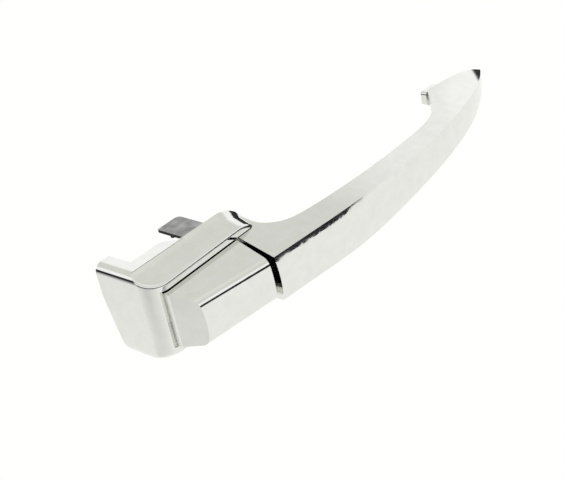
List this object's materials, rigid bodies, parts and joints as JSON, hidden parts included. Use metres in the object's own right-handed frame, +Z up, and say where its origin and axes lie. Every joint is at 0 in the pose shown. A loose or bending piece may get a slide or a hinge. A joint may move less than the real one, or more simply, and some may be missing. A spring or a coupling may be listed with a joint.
{
  "type": "car door outside pull handle",
  "caption": "Chromed outside door pull for a car: a bowed grip on a wrap-round base, with a rocking trigger block behind the grip and a flat steel tongue that reaches the latch.",
  "frame": {"origin": "on the door skin's outer plane, at mid-height, in the middle of the base's front land", "axes": "+X forward along the grip, +Y into the door, +Z up"},
  "size_m": [0.2204, 0.0653, 0.0376],
  "materials": {
    "chrome_casting": "polished chrome plate on a zinc die casting",
    "chrome_pad": "polished chrome plate on a moulding",
    "plated_steel": "zinc plated, satin",
    "tongue_steel": "bare strip with a dull plate and a sheared edge",
    "spring_steel": "drawn spring wire, oiled",
    "ground_steel": "ground, bright",
    "brass": "turned and knurled",
    "nylon": "moulded natural nylon",
    "rubber": "moulded, matt"
  },
  "bodies": {
    "handle": {"base_escutcheon": "chrome_casting", "threaded_insert": "brass", "grip": "chrome_casting", "grip_screws": "plated_steel", "pivot_pin": "ground_steel", "pin_clip": "spring_steel", "press_buffer": "rubber", "rest_buffer": "rubber", "return_spring": "spring_steel"},
    "trigger": {"trigger_lever": "plated_steel", "trigger_block": "chrome_casting", "block_screws": "plated_steel", "block_washers": "plated_steel", "finger_pad": "chrome_pad", "pad_rivets": "ground_steel", "pivot_bushes": "nylon", "release_tongue": "tongue_steel", "tongue_rivets": "ground_steel"}
  },
  "joints": [
    {"name": "trigger_rock", "type": "hinge", "parent": "handle", "child": "trigger", "pos_m": [-0.01155, -0.0065, 0], "axis": [0, 0, 1], "range_deg": [-4.5, 0], "stiffness_Nm_per_rad": 0.6, "springref_deg": 28.65, "deforming": ["return_spring"]}
  ]
}
